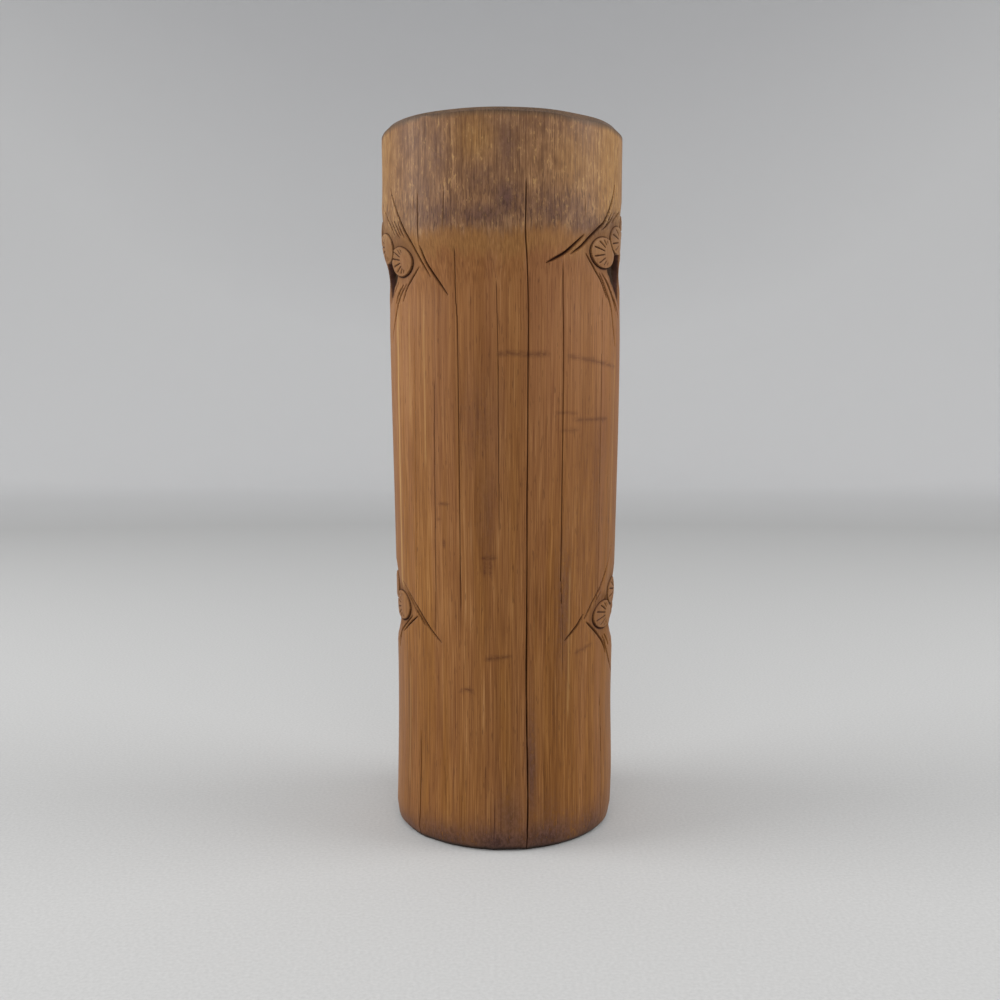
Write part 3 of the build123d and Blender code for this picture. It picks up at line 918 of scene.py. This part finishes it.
class Shader:
    """A material and short calls for the nodes that it is made of."""

    def __init__(self, name):
        self.material = bpy.data.materials.new(name)
        self.material.use_nodes = True
        self.tree = self.material.node_tree
        self.surface = self.tree.nodes["Principled BSDF"]
        self.place = self.node("TexCoord").outputs["Object"]
        self.axes = self.node("SeparateXYZ", {"Vector": self.place}).outputs

    def connect(self, socket, value):
        if isinstance(value, bpy.types.NodeSocket):
            self.tree.links.new(value, socket)
        else:
            socket.default_value = value

    def node(self, kind, inputs=None, **settings):
        made = self.tree.nodes.new("ShaderNode" + kind)
        for name, value in settings.items():
            setattr(made, name, value)
        for key, value in (inputs or {}).items():
            self.connect(made.inputs[key], value)
        return made

    def noise(self, wide, high, detail=3, roughness=0.55, shift=0, deep=None):
        """Noise with patches so many millimetres wide and high, and as deep as wide if not said."""
        scale = [1 / (length * MM) for length in (wide, deep or wide, high)]
        inputs = {"Vector": self.place, "Location": (shift, shift, shift), "Scale": scale}
        mapped = self.node("Mapping", inputs).outputs[0]
        inputs = {"Vector": mapped, "Scale": 1.0, "Detail": detail, "Roughness": roughness}
        return self.node("TexNoise", inputs).outputs[0]

    def math(self, operation, *values):
        return self.node("Math", dict(enumerate(values)), operation=operation).outputs[0]

    def times(self, first, *others):
        result = first
        for other in others:
            result = self.math("MULTIPLY", result, other)
        return result

    def span(self, value, low, high, to_low=0.0, to_high=1.0):
        """The value's place between low and high, eased at both ends."""
        inputs = {0: value, 1: low, 2: high, 3: to_low, 4: to_high}
        return self.node("MapRange", inputs, interpolation_type="SMOOTHSTEP").outputs[0]

    def total(self, start, *terms):
        """A sum of sockets, each about its middle of 0.5 and with its own weight."""
        result = start
        for socket, weight in terms:
            centred = self.math("SUBTRACT", socket, 0.5)
            result = self.math("MULTIPLY_ADD", centred, weight, result)
        return result

    def mix(self, share, first, second):
        """A share of the second colour in the first. Each is a socket, or red, green and blue."""
        first, second = [colour(*shade) if type(shade) is tuple else shade for shade in (first, second)]
        inputs = {0: share, 6: first, 7: second}
        return self.node("Mix", inputs, data_type="RGBA").outputs[2]

    def ramp(self, share, places, *shades):
        made = self.node("ValToRGB", {0: share})
        elements = made.color_ramp.elements
        while len(elements) < len(places):
            elements.new(1.0)
        for element, place, shade in zip(elements, places, shades):
            element.position = place
            element.color = colour(*shade)
        return made.outputs[0]

    def attribute(self, name):
        return self.node("Attribute", attribute_name=name).outputs["Fac"]

    def bump(self, height, distance, normal=None):
        inputs = {"Height": height, "Strength": 1.0, "Distance": distance * MM}
        if normal is not None:
            inputs["Normal"] = normal
        return self.node("Bump", inputs).outputs[0]

    def finish(self, **sockets):
        names = dict(colour="Base Color", rough="Roughness", normal="Normal", metal="Metallic")
        names["gloss"] = "Specular IOR Level"
        for key, value in sockets.items():
            self.connect(self.surface.inputs[names[key]], value)
        return self.material


class Grain:
    """The noises that the bamboo's colours share."""

    def __init__(self, s):
        self.fibre = s.noise(0.5, 45, 1, 0.5)
        self.streak = s.noise(1, 90, 2, 0.6, 3)
        self.strand = s.noise(2.6, 240, 2, 0.55, 5)
        self.band = s.noise(8, 480, 2, 0.5, 7)
        self.patch = s.noise(22, 55, 3, 0.55, 11)
        self.fleck = s.noise(0.65, 6, 2, 0.6, 31)
        self.dash = s.noise(0.6, 7, 1, 0.5, 23)
        self.line = s.noise(0.6, 80, 1, 0.5, 43)
        self.glint = s.noise(0.6, 50, 1, 0.5, 41)


def plain_bamboo(s, grain, bleach_and_side_light):
    """Golden brown wood with fine upright lines, ruddier and smoother towards the node, and paler where it
    is bleached and where side light is painted in.
    """
    lined = s.span(s.axes["Z"], 40 * MM, 240 * MM, 0.75, 0.55)
    fine = s.total(0.5, (grain.fibre, 1), (grain.streak, 0.5), (grain.strand, 0.3))
    fine = s.math("MULTIPLY_ADD", s.math("SUBTRACT", fine, 0.5), lined, 0.5)
    broad = s.total(fine, (grain.band, 0.3), (grain.patch, 0.22))
    # painted light: the tone is lifted where the wood is bleached, and on the culm's sides, which are
    # painted as if lit more
    tone = s.math("MULTIPLY_ADD", bleach_and_side_light, 0.2, broad)
    stops = (0.1, 0.38, 0.6, 0.9)
    golden = s.ramp(tone, stops, (88, 48, 14), (122, 75, 28), (142, 92, 40), (178, 129, 74))
    ruddy = s.ramp(tone, stops, (96, 54, 28), (129, 81, 46), (150, 101, 61), (184, 137, 94))
    strip = s.noise(12, 260, 2, 0.5, 19)
    # partly painted light: higher up the wood is painted ruddier and lighter, partly its own tone, partly
    # standing in for more light from above
    near_node = s.span(s.axes["Z"], 110 * MM, 260 * MM, 0, 0.5)
    share = s.math("ADD", s.span(strip, 0.42, 0.62, 0, 0.45), near_node)
    wood = s.mix(share, golden, ruddy)
    wood = s.mix(s.times(s.span(grain.line, 0.58, 0.66, 0, 0.45), lined), wood, (92, 52, 22))
    wood = s.mix(s.span(grain.dash, 0.65, 0.71, 0, 0.45), wood, (78, 42, 18))
    wood = s.mix(s.times(s.span(grain.glint, 0.6, 0.68, 0, 0.35), lined), wood, (178, 128, 72))
    # pale lines: pale streaks in the wood, and painted highlights running up the culm
    return s.mix(s.times(s.attribute("pale"), 0.75), wood, (196, 154, 95))


def weathered_bamboo(s, grain, bleach_and_side_light):
    """The greyer skin above the node, mottled and flecked, more golden where it is bleached and where side
    light is painted in.
    """
    streak = s.noise(0.5, 13, 2, 0.6, 47)
    mottle = s.noise(4, 9, 3, 0.6, 59)
    fine = s.total(0.5, (grain.fibre, 0.5), (grain.fleck, 0.5), (streak, 0.6))
    tone = s.total(fine, (grain.strand, 0.4), (mottle, 0.75), (grain.patch, 0.4))
    tone = s.math("MULTIPLY_ADD", bleach_and_side_light, 0.12, tone)
    stops = (0.1, 0.4, 0.6, 0.95)
    grey = s.ramp(tone, stops, (88, 58, 38), (126, 89, 58), (148, 108, 73), (192, 151, 106))
    golden = s.ramp(tone, stops, (116, 76, 38), (144, 102, 56), (162, 119, 69), (188, 148, 96))
    # painted light: more golden where bleached, and on the sides painted as if lit more
    wood = s.mix(s.span(bleach_and_side_light, 0.1, 0.6), grey, golden)
    wood = s.mix(s.span(grain.line, 0.57, 0.65, 0, 0.4), wood, (86, 55, 36))
    tick = s.noise(0.6, 4.5, 1, 0.5, 53)
    density = s.span(s.axes["Z"], (HEIGHT - 20) * MM, (UPPER_NODE + 6) * MM, 0.2, 0.65)
    wood = s.mix(s.times(s.span(tick, 0.56, 0.62), density), wood, (72, 46, 34))
    spot = s.noise(0.8, 2.2, 1, 0.5, 61)
    spotted = s.times(s.span(spot, 0.6, 0.66), s.span(mottle, 0.45, 0.6), 0.5)
    return s.mix(spotted, wood, (192, 150, 94))


def node_light_band(s, grain, ragged, wood):
    """A golden band along the upper node: painted light, where the node's ridge catches the light."""
    start = s.span(ragged, (UPPER_NODE - 14) * MM, (UPPER_NODE - 6) * MM)
    end = s.span(ragged, (UPPER_NODE - 4) * MM, (UPPER_NODE + 4) * MM, 1, 0)
    golden = s.mix(s.span(grain.fleck, 0.4, 0.6), (132, 92, 48), (156, 113, 62))
    return s.mix(s.times(start, end, 0.5), wood, golden)


def stained(s, grain, wood):
    """Dark stains, the dirty rim, the foot darkened partly by dirt and partly by painted shade, and a
    painted shadow along the very bottom.
    """
    speck = s.noise(1.5, 2.6, 3, 0.65, 71)
    blotch = s.total(0.5, (speck, 1), (grain.streak, 0.6), (grain.patch, 0.5))
    stain = s.times(s.attribute("stain"), s.span(blotch, 0.2, 0.5))
    wood = s.mix(stain, wood, s.mix(s.span(speck, 0.35, 0.65), (64, 40, 35), (101, 70, 60)))
    # the rim and the foot: dirt, and at the foot partly painted shade
    worn = s.times(s.attribute("worn"), s.span(grain.patch, 0.2, 0.55, 0.75, 1))
    dirt_and_foot_shade = s.ramp(grain.fleck, (0.3, 0.7), (66, 50, 39), (104, 81, 61))
    wood = s.mix(worn, wood, dirt_and_foot_shade)
    # painted shadow: the lowest few millimetres are painted near black, the shade under the rounded foot
    return s.mix(s.span(s.axes["Z"], 0.6 * MM, 3.2 * MM, 0.85, 0), wood, (44, 30, 24))


def carved_wood(s, wood, ground, cut):
    """Browner ground, the fans' faces, scuffs, dark cuts, and darker pits, partly stained and partly
    painted shade.
    """
    wood = s.mix(s.times(ground, 0.55), wood, (108, 73, 46))
    wood = s.mix(s.times(s.attribute("face"), 0.35), wood, (138, 99, 64))
    smear = s.noise(2.5, 1.2, 2, 0.6, 67)
    scuff = s.times(s.attribute("scuff"), s.span(smear, 0.3, 0.6, 0.35, 1))
    wood = s.mix(scuff, wood, (82, 42, 22))
    wood = s.mix(s.span(cut, 0, 1), wood, (56, 24, 11))
    # painted shade: pits go near black, partly their stain, partly the shade in the deep hollow
    return s.mix(s.span(cut, 1, 2), wood, (44, 25, 8))


def inner_wood(s, grain, wood, bore, ends):
    """The paler bore, and the dotted end grain of the rim and the foot."""
    tone = s.total(0.5, (grain.fibre, 0.8), (grain.strand, 0.8), (grain.patch, 0.6))
    pale = s.ramp(tone, (0.2, 0.5, 0.85), (118, 88, 58), (158, 124, 86), (188, 156, 116))
    wood = s.mix(bore, wood, pale)
    dots = s.span(s.noise(0.55, 30, 1, 0.5, 37), 0.54, 0.64)
    return s.mix(s.times(ends, 0.85), wood, s.mix(dots, (156, 122, 86), (78, 52, 34)))


def bamboo_material():
    """Shaved bamboo gone brown with age, stained above the node, with a dirty rim and a foot darkened
    partly by dirt, partly by painted shade.
    """
    s = Shader("bamboo")
    grain = Grain(s)
    bleach_and_side_light = s.attribute("bleach_and_side_light")
    edge = s.noise(2, 14, 3, 0.6, 29)
    ragged = s.total(s.axes["Z"], (edge, 14 * MM), (grain.patch, 14 * MM))
    above = s.span(ragged, (UPPER_NODE - 4) * MM, (UPPER_NODE + 3) * MM)
    wood = s.mix(above, plain_bamboo(s, grain, bleach_and_side_light), weathered_bamboo(s, grain, bleach_and_side_light))
    # painted light: a golden band along the node's ridge
    wood = stained(s, grain, node_light_band(s, grain, ragged, wood))
    ground, cut, bore, ends = [s.attribute(name) for name in ("ground", "cut", "bore", "end_grain")]
    wood = inner_wood(s, grain, carved_wood(s, wood, ground, cut), bore, ends)
    raw = s.math("MAXIMUM", s.math("MAXIMUM", ground, cut), s.math("MAXIMUM", bore, ends))
    rough = s.math("MULTIPLY_ADD", raw, 0.25, s.total(0.52, (grain.streak, 0.25), (grain.patch, 0.2)))
    normal = s.bump(grain.fibre, 0.05, s.bump(grain.streak, 0.12))
    return s.finish(colour=wood, rough=rough, normal=normal, gloss=0.22)


def base_wood_material():
    """Plain softwood, cut across the board, a little dusty."""
    s = Shader("base_wood")
    waves = {"Vector": s.place, "Scale": 90, "Distortion": 6, "Detail": 2, "Detail Scale": 0.6}
    rings = s.node("TexWave", waves, wave_type="BANDS", bands_direction="X").outputs[1]
    fibre = s.noise(0.5, 0.5, deep=18)
    tone = s.total(0.5, (rings, 0.35), (fibre, 0.9))
    wood = s.ramp(tone, (0.2, 0.55, 0.85), (118, 82, 50), (156, 116, 76), (180, 142, 98))
    rough = s.span(fibre, 0.3, 0.7, 0.55, 0.75)
    return s.finish(colour=wood, rough=rough, normal=s.bump(fibre, 0.12))


def copper_material():
    """Old copper sheet: brown, brighter where it has been rubbed, with dull spots from water."""
    s = Shader("copper")
    cloud = s.noise(16, 22, 4, 0.6)
    spot = s.noise(2.4, 3.2, 3, 0.6, 5)
    wiped = s.noise(1.2, 40, 2, 0.5, 9)
    tone = s.total(0.5, (cloud, 1.1), (spot, 0.4), (wiped, 0.3))
    sheet = s.ramp(tone, (0.2, 0.5, 0.8), (92, 52, 36), (150, 88, 60), (198, 128, 92))
    sheet = s.mix(s.span(spot, 0.64, 0.72, 0, 0.6), sheet, (98, 112, 96))
    rough = s.total(0.42, (cloud, 0.4), (wiped, 0.2))
    metal = s.span(spot, 0.62, 0.74, 1, 0.4)
    return s.finish(colour=sheet, rough=rough, metal=metal, normal=s.bump(cloud, 0.3))


def solder_material():
    """Grey tin solder, wiped while it was soft."""
    s = Shader("solder")
    grain = s.noise(1.5, 1.5)
    tone = s.ramp(grain, (0.3, 0.7), (112, 112, 110), (168, 168, 164))
    rough = s.span(grain, 0.3, 0.7, 0.35, 0.55)
    return s.finish(colour=tone, rough=rough, normal=s.bump(grain, 0.2), metal=1)


def paint(node, material):
    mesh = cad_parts[node].data
    mesh.materials.clear()
    mesh.materials.append(material)


def floor_material():
    """Pale cloth-like grey without gloss, whiter at the back, where less light reaches it."""
    s = Shader("floor")
    weave = s.noise(1.6, 1.6)
    cloth = s.ramp(weave, (0.3, 0.7), (190, 190, 189), (200, 200, 199))
    counted = {0: s.place, 1: (FAR_SIDEWAYS, 1, 1)}
    counted = s.node("VectorMath", counted, operation="MULTIPLY").outputs[0]
    away = s.node("VectorMath", {0: counted}, operation="LENGTH").outputs["Value"]
    stops = (0.4, 0.6, 0.78, 0.86, 0.95)
    shades = [(195, 195, 194), (228, 228, 228), (222, 222, 222), (202, 202, 203), (186, 187, 189)]
    far = s.ramp(s.math("DIVIDE", away, FAR), stops, *shades)
    return s.finish(colour=s.mix(s.span(away, 0.6, 1), cloth, far), rough=0.95, gloss=0.1)


def make_floor():
    """A pale round floor that runs up into a wall in one sweep all the way round."""
    section = []
    for step in range(SWEEP_STEPS + 1):
        turn = step / SWEEP_STEPS * pi / 2
        out = FLOOR_RADIUS - FLOOR_SWEEP * (1 - sin(turn))
        section.append((out, FLOOR_SWEEP * (1 - cos(turn))))
    section.append((FLOOR_RADIUS, FLOOR_WALL))
    turns = [2 * pi * side / FLOOR_SIDES for side in range(FLOOR_SIDES)]
    points = [(out * cos(turn), out * sin(turn), up) for out, up in section for turn in turns]
    faces = [tuple(range(FLOOR_SIDES))]
    for ring in range(len(section) - 1):
        for side in range(FLOOR_SIDES):
            after = (side + 1) % FLOOR_SIDES
            corners = [(ring, side), (ring + 1, side), (ring + 1, after), (ring, after)]
            faces.append(tuple(row * FLOOR_SIDES + column for row, column in corners))
    mesh = new_mesh("floor", points, faces)
    mesh.materials.append(floor_material())
    add("floor", mesh)


def make_lights():
    """Soft round lights from above on both sides, a little from the front, and an even room light."""
    for name, place, size, watts in LIGHTS:
        lamp = bpy.data.lights.new(name, "AREA")
        lamp.shape = "DISK"
        lamp.size = size
        lamp.energy = watts
        light = add(name, lamp)
        light.location = place
        aim = Vector(LIGHTS_AIM) - Vector(place)
        light.rotation_euler = aim.to_track_quat("-Z", "Y").to_euler()
    world = bpy.data.worlds.new("room")
    world.use_nodes = True
    room = world.node_tree.nodes["Background"].inputs
    room["Color"].default_value = (0.97, 0.98, 1.0, 1.0)
    room["Strength"].default_value = ROOM_LIGHT
    bpy.context.scene.world = world


def make_camera():
    lens = bpy.data.cameras.new("camera")
    lens.lens = CAMERA_LENS
    lens.sensor_width = CAMERA_SENSOR
    camera = add("camera", lens)
    camera.location = [distance * MM for distance in CAMERA_PLACE]
    camera.rotation_euler = (radians(90 - CAMERA_DOWN), 0.0, 0.0)
    bpy.context.scene.camera = camera


culm = make_culm()
culm.data.materials.append(bamboo_material())
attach(culm, "vase")
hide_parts("culm_wall")

copper = copper_material()
for name in ("liner_tube", "liner_bottom", "liner_rim_wire"):
    paint(name, copper)
paint("liner_solder", solder_material())
paint("base_disc", base_wood_material())

make_floor()
make_lights()
make_camera()
bpy.context.scene.view_settings.view_transform = "Standard"
